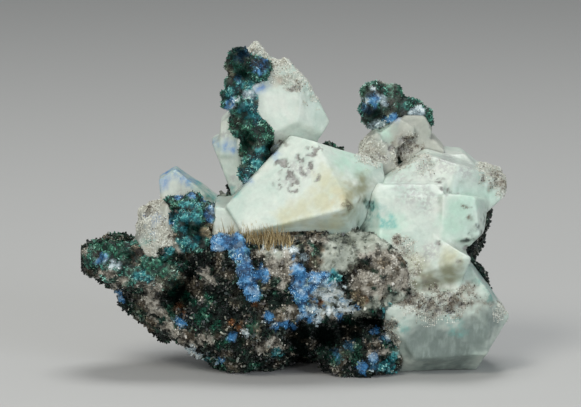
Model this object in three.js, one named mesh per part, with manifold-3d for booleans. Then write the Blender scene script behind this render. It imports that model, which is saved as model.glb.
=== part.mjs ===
// Anglesite specimen: milky white anglesite crystals grown on a block of dark, vuggy copper-stained rock,
// with knobbly green crusts and bands of blue crust. It stands on broken feet ground level.
//
// Millimetres, +Z up. +X is the specimen's right and -Y its display side. The origin is the middle of the
// footprint of its bounding box, on the surface that it stands on.

import * as THREE from "three";
import { ConvexGeometry } from "three/addons/geometries/ConvexGeometry.js";
import { ImprovedNoise } from "three/addons/math/ImprovedNoise.js";
import { mergeVertices } from "three/addons/utils/BufferGeometryUtils.js";
import Module from "manifold-3d";

const wasm = await Module();
wasm.setup();

// Clearance left between two minerals that meet, so that each stays a solid of its own.
const GAP = 0.3;
// Larger than the specimen in every direction.
const BEYOND = 120;

const perlin = new ImprovedNoise();

// A repeatable source of numbers from 0 to 1.
function dice(seed) {
  let state = seed * 2654435761 + 12345;
  return () => {
    state = (state * 1664525 + 1013904223) % 4294967296;
    return state / 4294967296;
  };
}

// A face direction as a goniometer reads it: the azimuth runs from the display side to the right, and the
// height is counted up from level.
function direction(azimuth, height) {
  const a = THREE.MathUtils.degToRad(azimuth);
  const h = THREE.MathUtils.degToRad(height);
  return new THREE.Vector3(Math.sin(a) * Math.cos(h), -Math.cos(a) * Math.cos(h), Math.sin(h));
}

function randomDirection(random) {
  const height = 2 * random() - 1;
  const around = 2 * Math.PI * random();
  const level = Math.sqrt(1 - height * height);
  return new THREE.Vector3(level * Math.cos(around), level * Math.sin(around), height);
}

// Leaves only positions, with shared vertices merged.
function weld(geometry) {
  geometry.deleteAttribute("normal");
  geometry.deleteAttribute("uv");
  return mergeVertices(geometry, 1e-4);
}

function solidOf(geometry) {
  const welded = weld(geometry);
  return new wasm.Manifold(
    new wasm.Mesh({
      numProp: 3,
      vertProperties: new Float32Array(welded.attributes.position.array),
      triVerts: new Uint32Array(welded.index.array),
    }),
  );
}

function geometryOf(solid) {
  const mesh = solid.getMesh();
  const positions = new Float32Array(mesh.numVert * 3);
  for (let i = 0; i < mesh.numVert; i++) {
    positions.set(mesh.vertProperties.subarray(i * mesh.numProp, i * mesh.numProp + 3), i * 3);
  }
  return new THREE.BufferGeometry()
    .setAttribute("position", new THREE.BufferAttribute(positions, 3))
    .setIndex(new THREE.BufferAttribute(new Uint32Array(mesh.triVerts), 1));
}

const join = (solids) => solids.reduce((a, b) => a.add(b));

// A convex crystal. Each face is [azimuth, height, distance from the centre], and each corner is where three
// faces meet inside all the others.
const PARALLEL = 1e-3;
const SAME_CORNER = 0.02;
function crystal({ at, faces }, grow = 0) {
  const planes = faces.map(([azimuth, height, distance]) => ({
    normal: direction(azimuth, height),
    distance: distance + grow,
  }));
  const corners = [];
  const meet = (a, b, c) => {
    const bc = new THREE.Vector3().crossVectors(b.normal, c.normal);
    const volume = a.normal.dot(bc);
    if (Math.abs(volume) < PARALLEL) return;
    const corner = bc.multiplyScalar(a.distance);
    corner.addScaledVector(new THREE.Vector3().crossVectors(c.normal, a.normal), b.distance);
    corner.addScaledVector(new THREE.Vector3().crossVectors(a.normal, b.normal), c.distance);
    corner.divideScalar(volume);
    const inside = planes.every((p) => p.normal.dot(corner) <= p.distance + 1e-5);
    if (inside && corners.every((other) => other.distanceTo(corner) > SAME_CORNER)) corners.push(corner);
  };
  planes.forEach((a, i) => {
    planes.slice(i + 1).forEach((b, j) => {
      planes.slice(i + j + 2).forEach((c) => meet(a, b, c));
    });
  });
  return solidOf(new ConvexGeometry(corners).translate(...at));
}

// A lump of broken rock: a ball cut back by flat chips, roughened, stretched and turned. Chip depths are
// shares of the radius, and the roughness has a few waves across it.
const DEEPEST_CHIP = 0.74;
const SHALLOWEST_CHIP = 0.94;
const ROUGH_WAVES = 2.7;
function boulder({ at, size, turn = [0, 0, 0], seed, chips = 11, rough = 0.09, detail = 2 }, grow = 0) {
  const random = dice(seed);
  const flats = Array.from({ length: chips }, () => ({
    normal: randomDirection(random),
    depth: DEEPEST_CHIP + (SHALLOWEST_CHIP - DEEPEST_CHIP) * random(),
  }));
  const geometry = weld(new THREE.IcosahedronGeometry(1, detail));
  const position = geometry.attributes.position;
  const v = new THREE.Vector3();
  for (let i = 0; i < position.count; i++) {
    v.fromBufferAttribute(position, i).normalize();
    let reach = 1;
    for (const flat of flats) {
      const facing = v.dot(flat.normal);
      if (facing > 0) reach = Math.min(reach, flat.depth / facing);
    }
    const wave = v.clone().multiplyScalar(ROUGH_WAVES);
    reach += rough * perlin.noise(wave.x + seed, wave.y, wave.z);
    position.setXYZ(i, v.x * reach, v.y * reach, v.z * reach);
  }
  const turned = new THREE.Euler(...turn.map((degrees) => THREE.MathUtils.degToRad(degrees)));
  geometry.scale(...size.map((half) => half + grow / (DEEPEST_CHIP - rough)));
  geometry.applyMatrix4(new THREE.Matrix4().makeRotationFromEuler(turned));
  return solidOf(geometry.translate(...at));
}

// A round knob of crust, bumpy as grape-like crusts are. Small ones have fewer faces.
const SMALL_KNOB = 2.3;
const KNOB_BUMP = 0.16;
const KNOB_WAVES = 2.3;
function knob(x, y, z, radius, grow = 0) {
  const geometry = weld(new THREE.IcosahedronGeometry(1, radius > SMALL_KNOB ? 1 : 0));
  const position = geometry.attributes.position;
  const v = new THREE.Vector3();
  for (let i = 0; i < position.count; i++) {
    v.fromBufferAttribute(position, i).normalize();
    const wave = v.clone().multiplyScalar(KNOB_WAVES);
    const bump = 1 + KNOB_BUMP * perlin.noise(wave.x + x, wave.y + y, wave.z + z);
    v.multiplyScalar(radius * bump + grow);
    position.setXYZ(i, x + v.x, y + v.y, z + v.z);
  }
  return solidOf(geometry);
}

// The large centre crystal: a blunt wedge with a bright front face, clear right faces and a shaded underside.
const CENTRE_CRYSTAL = {
  at: [2, -3, 36.5],
  faces: [
    [-16, 30, 5.8], // bright front face
    [38, 44, 8.7], // right face, down to the nose
    [50, 21, 11], // right face beside the nose
    [59, -13, 12.2], // right face under the nose
    [6, -42, 9.9], // shaded underside
    [127, 70, 9.6], // narrow top, which falls to the right
    [95, 0, 15.8],
    [100, -33, 12.4],
    [-95, 43, 9.4],
    [-92, -35, 14.3],
    [-100, 20, 13.6],
    [0, -90, 9.5],
    [180, 0, 8],
  ],
};

// The small crystal grown onto the left tip of the centre crystal.
const TIP_CRYSTAL = {
  at: [-14.5, -3, 32.4],
  faces: [
    [-90, 5, 1.4],
    [-80, 55, 1.8],
    [-10, 12, 3.4],
    [20, 80, 1.4],
    [90, 0, 6],
    [180, 0, 5],
    [0, -90, 6],
  ],
};

// The tower: a broad white block, two narrower ones above it, and two small crystals at its left foot.
const TOWER_CRYSTALS = [
  {
    at: [-2, 5, 51.5],
    faces: [
      [-8, 8, 5.4],
      [30, 4, 6.4],
      [12, -32, 6.2],
      [95, 28, 6.7],
      [95, 44, 7.4],
      [95, -31, 8.4],
      [-90, 0, 9.5],
      [-90, 48, 8.2],
      [180, 5, 7],
      [150, 55, 8],
      [0, -90, 12],
    ],
  },
  {
    at: [-3.5, 5.5, 56.5],
    faces: [
      [-14, 14, 3.8],
      [40, 20, 4.6],
      [95, 65, 4.4],
      [95, 44, 4],
      [-90, 30, 5.5],
      [178, 8, 5.4],
      [0, -90, 3],
    ],
  },
  {
    at: [-7.5, 5.5, 59],
    faces: [
      [-10, 8, 3.4],
      [35, 20, 3.2],
      [92, 36, 3.6],
      [90, 0, 3.2],
      [-90, 50, 4.9],
      [-90, -5, 3.4],
      [180, 5, 4],
      [0, -90, 6],
    ],
  },
  {
    at: [-12, 7, 41],
    faces: [
      [-88, -21, 2.9],
      [-80, 60, 5.4],
      [-18, 5, 4],
      [30, 10, 4.6],
      [90, 0, 6],
      [180, 0, 6],
      [0, -90, 12],
      [0, 88, 4.6],
    ],
  },
  {
    at: [-12, 6.5, 47.5],
    faces: [
      [-90, 3, 2.9],
      [-85, 48, 3.2],
      [-15, 8, 3],
      [90, 0, 5],
      [180, 0, 4],
      [0, -90, 5],
      [0, 90, 3.4],
    ],
  },
];

// The low roof-shaped crystal that stands behind the left shoulder.
const BACK_LEFT_CRYSTAL = {
  at: [-22.5, 17, 33],
  faces: [
    [-12, 10, 4.6],
    [88, 54, 3.4],
    [-88, 58, 5.6],
    [-90, -4, 4.9],
    [35, 12, 7],
    [90, 10, 8.5],
    [180, 6, 3.4],
    [0, -90, 9],
  ],
};

// The pale mass on the right: intergrown blocks, from the top one down to the one at the foot.
const RIGHT_CRYSTALS = [
  {
    at: [29, 6, 37.5],
    faces: [
      [-12, 22, 10],
      [28, 12, 11],
      [92, 73, 4.9],
      [90, 40, 10.3],
      [88, -4, 13.4],
      [80, -48, 11],
      [-92, 58, 6.5],
      [-90, 0, 12],
      [178, 10, 9],
      [0, -90, 9],
    ],
  },
  {
    at: [31.5, 10, 40],
    faces: [
      [-90, 62, 3],
      [90, 50, 3.4],
      [0, 20, 4],
      [20, 85, 2.6],
      [-90, 10, 5.4],
      [90, 5, 5.4],
      [180, 10, 5],
      [0, -90, 6],
    ],
  },
  {
    at: [22, -1, 30],
    faces: [
      [-8, 15, 8],
      [-8, 48, 8.6],
      [-52, 8, 8.8],
      [175, 72, 6.4],
      [-90, 20, 9],
      [90, 0, 7.6],
      [10, -40, 15.5],
      [0, -90, 13],
      [180, 0, 9],
    ],
  },
  {
    at: [31, 1, 30.8],
    faces: [
      [4, 10, 11.2],
      [168, 76, 3],
      [92, -12, 6.3],
      [70, 10, 8.6],
      [10, -40, 11],
      [85, -46, 6.4],
      [-90, 0, 2],
      [180, 0, 8],
      [0, -90, 8],
    ],
  },
  {
    at: [26, -9, 25],
    faces: [
      [-24, 22, 2.2],
      [-2, -35, 5.1],
      [98, 57, 3.9],
      [92, -14, 8.2],
      [62, 18, 9.9],
      [-90, 0, 4],
      [0, -82, 9],
      [180, 0, 10],
    ],
  },
  {
    at: [28, -2, 12],
    faces: [
      [-4, 38, 10.8],
      [5, -12, 9.8],
      [92, 37, 11.2],
      [88, -29, 13],
      [48, -8, 13.6],
      [-90, 0, 10],
      [-45, -30, 12],
      [180, 5, 14],
      [130, 10, 15],
      [10, -62, 11],
      [0, -90, 13],
      [0, 90, 10],
    ],
  },
];

// The little crystals of the spire at the back right.
const SPIRE_CRYSTALS = [
  {
    at: [20.2, 9, 45.7],
    faces: [
      [-88, 53, 2.7],
      [88, 60, 3.8],
      [80, 0, 4.2],
      [85, -52, 1.8],
      [-90, -10, 5.5],
      [-5, 16, 3.4],
      [180, 0, 4],
      [0, -90, 6],
    ],
  },
  {
    at: [16.3, 7, 42.3],
    faces: [
      [-85, 45, 3.3],
      [85, 42, 3.3],
      [-90, 0, 3.4],
      [90, 0, 4],
      [0, 12, 3.2],
      [180, 0, 5],
      [0, -90, 7],
    ],
  },
  {
    at: [26.5, 9.5, 42.6],
    faces: [
      [88, 42, 2.9],
      [-88, 36, 3.4],
      [90, -4, 4.6],
      [-90, 0, 4],
      [0, 6, 2.8],
      [180, 0, 5],
      [0, -90, 6],
      [0, 84, 2.6],
    ],
  },
  {
    at: [24, 10.5, 47.2],
    faces: [
      [90, 30, 3],
      [-90, 30, 3],
      [90, -20, 3.4],
      [-90, -10, 3.4],
      [0, 8, 3],
      [180, 0, 3.2],
      [0, -90, 6],
      [0, 80, 3],
    ],
  },
];

// The sugary crystal knob on the left shoulder.
const SHOULDER_CRYSTALS = [
  {
    at: [-28.6, -6, 28],
    faces: [
      [-80, 12, 2.4],
      [-25, 8, 2.8],
      [25, 18, 2.8],
      [80, -5, 2.6],
      [-60, 55, 3.6],
      [60, 50, 3.8],
      [0, -90, 4.4],
      [180, 0, 5],
    ],
  },
  {
    at: [-26, -5, 31.2],
    faces: [
      [-85, 20, 2.4],
      [-20, 22, 2.6],
      [40, 25, 2.6],
      [-60, 62, 2.5],
      [90, 45, 2.6],
      [0, -90, 5],
      [180, 0, 4],
    ],
  },
];

// The rock: broken blocks grown together, each with its own centre and half sizes.
const ROCK_BLOCKS = [
  { at: [-3, 3, 15], size: [25, 17, 15], seed: 3 }, // the core
  { at: [-7, -6, 13], size: [17.5, 9.5, 10.5], seed: 6 }, // the front
  { at: [-28, 0, 20], size: [15.5, 11, 6], turn: [0, 14, 0], seed: 11 }, // the shelf that points left
  { at: [-33, 1, 21.5], size: [9.4, 6.5, 4], turn: [0, 10, 0], seed: 5 }, // its tip
  { at: [-29, 1, 15], size: [11.5, 9, 5.5], turn: [0, 48, 0], seed: 7 }, // its underside
  { at: [-18, 2, 9], size: [10.5, 11, 7], turn: [0, 20, 0], seed: 43 },
  { at: [-23, -2, 25], size: [9.5, 9, 9.5], seed: 8 }, // the left shoulder
  { at: [-20, 13, 23], size: [9, 8, 8], seed: 10 }, // under the crystal at the back left
  { at: [-1, -8, 23], size: [22, 8.5, 7.5], turn: [0, 3, 0], seed: 21 }, // the rim under the centre crystal
  { at: [14.5, -8, 19.8], size: [10, 7.6, 8.5], turn: [0, 8, 0], seed: 4 }, // its granular right end
  { at: [4, 14, 20], size: [29, 13, 17], seed: 9 }, // the back
  { at: [1, 8, 35], size: [15, 8.5, 9], seed: 13 }, // the base of the tower
  { at: [22, 12, 34], size: [11, 8, 11], seed: 15 }, // the base of the spire
  { at: [34, 9, 28], size: [5.2, 8, 10.5], turn: [0, 14, 0], seed: 17 }, // the rough right edge
  { at: [30, 8, 12], size: [10, 12, 12], seed: 19 },
  { at: [-10, 1, 5], size: [12, 10, 7], seed: 23 }, // the left foot
  { at: [13, -6, 5], size: [9, 8, 6.5], seed: 27 }, // the middle foot
  { at: [8, 18, 6], size: [14, 8, 8], seed: 29 }, // the back foot
];

// Hollows in the display side: the vug, the slot above it, the recess under the right rim and two low arches.
const ROCK_HOLLOWS = [
  { at: [-16, -17, 17], size: [3.4, 8, 4.2], seed: 31, chips: 4, detail: 1 },
  { at: [-16.6, -17, 22], size: [1.7, 6, 4.4], turn: [0, 12, 0], seed: 33, chips: 4, detail: 1 },
  { at: [13, -19, 7.4], size: [8.5, 7.5, 2.5], turn: [0, -6, 0], seed: 35, chips: 4, detail: 1 },
  { at: [2.6, -12, 0], size: [3.6, 9, 2.4], seed: 37, chips: 3, detail: 1 },
  { at: [25, -10, -0.6], size: [5, 8, 2.2], seed: 39, chips: 3, detail: 1 },
];

const boulders = (list, grow = 0) => join(list.map((b) => boulder(b, grow)));
const bareRock = boulders(ROCK_BLOCKS).subtract(boulders(ROCK_HOLLOWS));

// The place where a straight line first meets the bare rock.
const rockProbe = new THREE.Mesh(geometryOf(bareRock), new THREE.MeshBasicMaterial());
const ray = new THREE.Raycaster();
function meetRock(from, towards) {
  ray.set(from, towards);
  const [hit] = ray.intersectObject(rockProbe);
  return hit ? hit.point : null;
}

// Small broken lumps that stand out of the rock all round, and pits between them.
const LUMPS = { count: 40, seed: 41, least: 2, most: 4.6, sunk: 0.55 };
const PITS = { count: 10, seed: 47, least: 0.9, most: 1.9, sunk: 0 };
const ROCK_MIDDLE = new THREE.Vector3(0, 3, 17);
const LUMPY_HALF_LENGTH = 33;
function scatter({ count, seed, least, most, sunk }) {
  const random = dice(seed);
  const found = [];
  while (found.length < count) {
    const inwards = randomDirection(random);
    const from = inwards.clone().multiplyScalar(-BEYOND).add(ROCK_MIDDLE);
    from.x += LUMPY_HALF_LENGTH * (2 * random() - 1);
    const size = [0, 1, 2].map(() => least + (most - least) * random());
    const turn = [0, 1, 2].map(() => 360 * random());
    const hit = meetRock(from, inwards);
    if (!hit || hit.z < most || Math.abs(hit.x) > LUMPY_HALF_LENGTH) continue;
    const at = hit.addScaledVector(inwards, sunk * size[1]).toArray();
    found.push({ at, size, turn, seed: seed + found.length, chips: 3, rough: 0.3, detail: 0 });
  }
  return found;
}
const lumps = scatter(LUMPS);
const pits = scatter(PITS);
const rock = (grow) =>
  boulders([...ROCK_BLOCKS, ...lumps], grow).subtract(boulders([...ROCK_HOLLOWS, ...pits], -grow));

// The knobs of each crust, as [x, y, z, radius]. What they sit on cuts their backs off.
const TOWER_CRUST = [
  [-10.9, 3.5, 61.4, 3.1],
  [-7.4, 0.6, 60.4, 2.7],
  [-11, 2.8, 57.2, 3],
  [-13.2, 4, 54, 2.3],
  [-10.2, 1.2, 53.4, 3.1],
  [-9.8, 1.2, 49.4, 3.6],
  [-7.4, 0.2, 47, 3.6],
  [-8.2, 0.8, 44.6, 3.2],
  [-7.8, -1.2, 42.6, 2.8],
  [-9.2, -1.2, 39.8, 2.4],
];
const SPIRE_CRUST = [
  [16.4, 11.5, 53.6, 3.3],
  [19.2, 12, 53.4, 2.9],
  [15.8, 11, 50.4, 3.1],
  [19, 10.6, 50.6, 3],
  [22.6, 11.4, 50.6, 2.9],
  [25.4, 11, 49.4, 2.8],
];
const SHELF_CRUST = [
  [-39.4, -6, 23.4, 2.6],
  [-36.4, -7, 24.2, 2.9],
  [-33, -8.2, 24, 3.1],
  [-36.4, -8.6, 21.4, 2.6],
  [-32.6, -10.2, 21, 2.9],
  [-28.8, -10.4, 21.4, 3],
  [-25, -10.2, 20.4, 3],
];
const SHOULDER_CRUST = [
  [-23.6, -4.6, 33, 2.9],
  [-20.4, -4.2, 33, 3.1],
  [-17.6, -4.4, 31.6, 2.8],
  [-21.2, -6.8, 31.6, 2.9],
  [-21.4, -8.8, 29.8, 3],
  [-19.4, -10.2, 27.2, 3.1],
];
const LEFT_BLUE_CRUST = [
  [-14.8, -11.4, 27, 2.3],
  [-11.8, -12.2, 27, 2.3],
  [-10.8, -14.4, 25, 2.2],
  [-9.8, -15.2, 22.6, 2.1],
  [-9.2, -15, 20.2, 2.1],
  [-8.4, -14.8, 18, 2],
];
const RIGHT_BLUE_CRUST = [
  [0.4, -15.4, 22.4, 2.1],
  [3.4, -15, 20.4, 2.2],
  [5.8, -14.6, 20.2, 2.1],
  [0.8, -15, 19.2, 2.2],
  [1.8, -14.7, 16.8, 2.2],
  [2.6, -13.6, 14.6, 2.2],
];

const crust = (knobs) => (grow) => join(knobs.map((k) => knob(...k, grow)));
const crystals = (list) => (grow) => join(list.map((c) => crystal(c, grow)));
const standing = solidOf(new THREE.BoxGeometry(2 * BEYOND, 2 * BEYOND, BEYOND).translate(0, 0, BEYOND / 2));

// Where two pieces meet, the one listed first keeps its shape, and the later one is cut back from it.
const PIECES = [
  ["centre_crystal", 0xcfdcd0, 0.35, crystals([CENTRE_CRYSTAL, TIP_CRYSTAL])],
  ["tower_crystals", 0xc6cfc3, 0.4, crystals(TOWER_CRYSTALS)],
  ["right_crystals", 0xbccac1, 0.45, crystals(RIGHT_CRYSTALS)],
  ["back_left_crystal", 0xb9c8c6, 0.4, crystals([BACK_LEFT_CRYSTAL])],
  ["spire_crystals", 0xb2b9aa, 0.5, crystals(SPIRE_CRYSTALS)],
  ["shoulder_crystals", 0xa8afa5, 0.45, crystals(SHOULDER_CRYSTALS)],
  ["rock_matrix", 0x4a4a42, 0.9, rock],
  ["tower_green_crust", 0x2f5a50, 0.7, crust(TOWER_CRUST)],
  ["spire_green_crust", 0x3d5f5a, 0.7, crust(SPIRE_CRUST)],
  ["shoulder_green_crust", 0x35696b, 0.7, crust(SHOULDER_CRUST)],
  ["shelf_green_crust", 0x24483a, 0.75, crust(SHELF_CRUST)],
  ["left_blue_crust", 0x3f74a6, 0.6, crust(LEFT_BLUE_CRUST)],
  ["right_blue_crust", 0x4a7fae, 0.6, crust(RIGHT_BLUE_CRUST)],
];

const specimen = new THREE.Group();
specimen.name = "anglesite_specimen";

const placed = [];
for (const [name, colour, roughness, make] of PIECES) {
  let solid = make(0).intersect(standing);
  for (const earlier of placed) solid = solid.subtract(earlier(GAP));
  placed.push(make);
  // A cut can leave crumbs: the piece is its largest part.
  const parts = solid.decompose().sort((a, b) => b.volume() - a.volume());
  const material = new THREE.MeshStandardMaterial({ color: colour, roughness, metalness: 0 });
  const mesh = new THREE.Mesh(geometryOf(parts[0]), material);
  mesh.name = name;
  specimen.add(mesh);
}
const box = new THREE.Box3().setFromObject(specimen);
const middle = box.getCenter(new THREE.Vector3());
specimen.position.set(-middle.x, -middle.y, -box.min.z);

export default specimen;
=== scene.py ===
import math

import bmesh
import bpy
import numpy as np
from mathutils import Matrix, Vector, noise
from mathutils.bvhtree import BVHTree


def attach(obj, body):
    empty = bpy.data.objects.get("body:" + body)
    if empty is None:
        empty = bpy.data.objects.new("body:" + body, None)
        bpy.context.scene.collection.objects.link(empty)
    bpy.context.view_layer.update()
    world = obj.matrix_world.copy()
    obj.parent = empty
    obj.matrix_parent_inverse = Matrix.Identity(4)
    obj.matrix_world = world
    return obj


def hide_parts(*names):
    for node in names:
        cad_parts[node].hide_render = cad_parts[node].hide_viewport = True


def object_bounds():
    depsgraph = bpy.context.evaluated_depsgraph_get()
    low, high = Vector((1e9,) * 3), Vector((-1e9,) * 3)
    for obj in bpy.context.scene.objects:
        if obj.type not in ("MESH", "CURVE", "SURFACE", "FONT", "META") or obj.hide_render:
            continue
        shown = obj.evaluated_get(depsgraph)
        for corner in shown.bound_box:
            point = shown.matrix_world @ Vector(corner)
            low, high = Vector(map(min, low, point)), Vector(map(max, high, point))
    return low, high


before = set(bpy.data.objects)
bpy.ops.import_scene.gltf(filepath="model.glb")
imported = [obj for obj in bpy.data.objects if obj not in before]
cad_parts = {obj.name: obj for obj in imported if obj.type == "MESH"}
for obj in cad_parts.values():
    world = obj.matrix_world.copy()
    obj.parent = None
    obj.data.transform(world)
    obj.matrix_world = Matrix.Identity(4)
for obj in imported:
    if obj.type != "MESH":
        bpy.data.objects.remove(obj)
cad_low, cad_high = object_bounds()
scene = bpy.context.scene
MM = 0.001


# Studio
# The specimen stands on a plain pale table under large soft lights, seen from the front and a little above
# through a long lens. Nothing in this section is part of the specimen.
VIEW_CENTRE = Vector((-0.85, -4.81, 33.4)) * MM
VIEW_HEIGHT = math.radians(8)
VIEW_DISTANCE = 900 * MM
# The photograph's width and middle in pixels, and how many pixels cover a mm of the specimen.
PHOTO_WIDTH = 581
PHOTO_MIDDLE = (290.5, 203.5)
PIXELS_PER_MM = 5
VIEW_WIDTH = PHOTO_WIDTH / PIXELS_PER_MM * MM
TABLE_RADIUS = 3.0
TABLE_CORNERS = 96
TABLE_GREY = "#b9bab8"
# For each light: its name, place and width in metres, watts and colour.
LIGHTS = [
    ("key", (-0.34, -0.66, 0.70), 0.40, 3.8, "#fffaf2"),
    ("fill", (0.55, -0.66, 0.26), 0.50, 3.0, "#f0f6ff"),
    ("top", (0.05, 0.16, 0.85), 0.45, 3.5, "#ffffff"),
    ("low", (-0.30, -0.76, 0.05), 0.50, 3.2, "#ffffff"),
]
DAYLIGHT = "#e6e9ec"
DAYLIGHT_STRENGTH = 0.30


def linear(code):
    """An sRGB hex colour as linear red, green, blue and alpha."""
    parts = [int(code[i : i + 2], 16) / 255 for i in (1, 3, 5)]
    return tuple(p / 12.92 if p <= 0.04045 else ((p + 0.055) / 1.055) ** 2.4 for p in parts) + (1.0,)


def node(tree, kind, settings=None, links=None):
    """Adds a node with its settings, which are properties or input values, and its incoming links."""
    made = tree.nodes.new("ShaderNode" + kind)
    for name, value in (settings or {}).items():
        if isinstance(name, str) and name in made.bl_rna.properties:
            setattr(made, name, value)
        else:
            made.inputs[name].default_value = value
    for name, source in (links or {}).items():
        tree.links.new(source, made.inputs[name])
    return made


def new_material(name):
    """An empty material and its node tree."""
    made = bpy.data.materials.new(name)
    made.use_nodes = True
    made.node_tree.nodes.clear()
    return made, made.node_tree


def new_object(name, mesh):
    """A named object in the scene, at the origin."""
    made = bpy.data.objects.new(name, mesh)
    scene.collection.objects.link(made)
    return made


table_mesh = bpy.data.meshes.new("table")
bm = bmesh.new()
bmesh.ops.create_circle(bm, cap_ends=True, segments=TABLE_CORNERS, radius=TABLE_RADIUS)
bm.to_mesh(table_mesh)
bm.free()
table = new_object("table", table_mesh)
# Matt painted board: an even pale grey with no shine.
table_paint, tree = new_material("matt_table_paint")
surface = node(tree, "BsdfPrincipled", {"Base Color": linear(TABLE_GREY), "Roughness": 0.85})
node(tree, "OutputMaterial", links={"Surface": surface.outputs["BSDF"]})
table_mesh.materials.append(table_paint)

lens = bpy.data.cameras.new("camera")
lens.lens = lens.sensor_width * VIEW_DISTANCE / VIEW_WIDTH
camera = new_object("camera", lens)
back = Vector((0, -math.cos(VIEW_HEIGHT), math.sin(VIEW_HEIGHT)))
camera.location = VIEW_CENTRE + back * VIEW_DISTANCE
camera.rotation_euler = back.to_track_quat("Z", "Y").to_euler()
scene.camera = camera

for name, place, size, watts, colour in LIGHTS:
    lamp = bpy.data.lights.new(name, "AREA")
    lamp.shape = "DISK"
    lamp.size = size
    lamp.energy = watts
    lamp.color = linear(colour)[:3]
    stand = new_object(name, lamp)
    stand.location = place
    stand.rotation_euler = (Vector(place) - VIEW_CENTRE).to_track_quat("Z", "Y").to_euler()

world = bpy.data.worlds.new("daylight")
world.use_nodes = True
sky = world.node_tree.nodes["Background"]
sky.inputs["Color"].default_value = linear(DAYLIGHT)
sky.inputs["Strength"].default_value = DAYLIGHT_STRENGTH
scene.world = world
scene.view_settings.view_transform = "Standard"


# Rock
# Broken, iron-stained vein rock that carries every crystal. Its skin is lumpy and pitted at several sizes.
# It is pale and sugary along the top edge, brown where iron has stained it, and dark green-black in front.
ROCK_VOXEL = 0.5
# Lumps by their width and height, and pits by their width and depth, in mm.
ROCK_LUMPS = [(6.5, 0.70), (2.6, 0.60), (1.0, 0.25)]
ROCK_PITS = (3.0, 1.5)
# Near another solid the skin loses its lumps and swells a little, so that the two meet without a gap.
CONTACT_REACH = 1.4
CONTACT_FADE = 0.9
CONTACT_SWELL = 0.42
# How much the painted shade and dark patches darken the grains, and how far out of every spot a point counts
# as lying.
HOLLOW_DARKNESS = 0.95
FAR_OUTSIDE = -9.0
# A rosette's width, the radius of its ring as a share of that, and how sharply the ring stands out.
ROCK_ROSETTE = 1.6
ROSETTE_RING = 0.36
ROSETTE_CONTRAST = 3.6
# How pale the bloom on the blue bands is, and how wide its patches are.
BLOOM = 0.6
BLOOM_SIZE = 1.7
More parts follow.
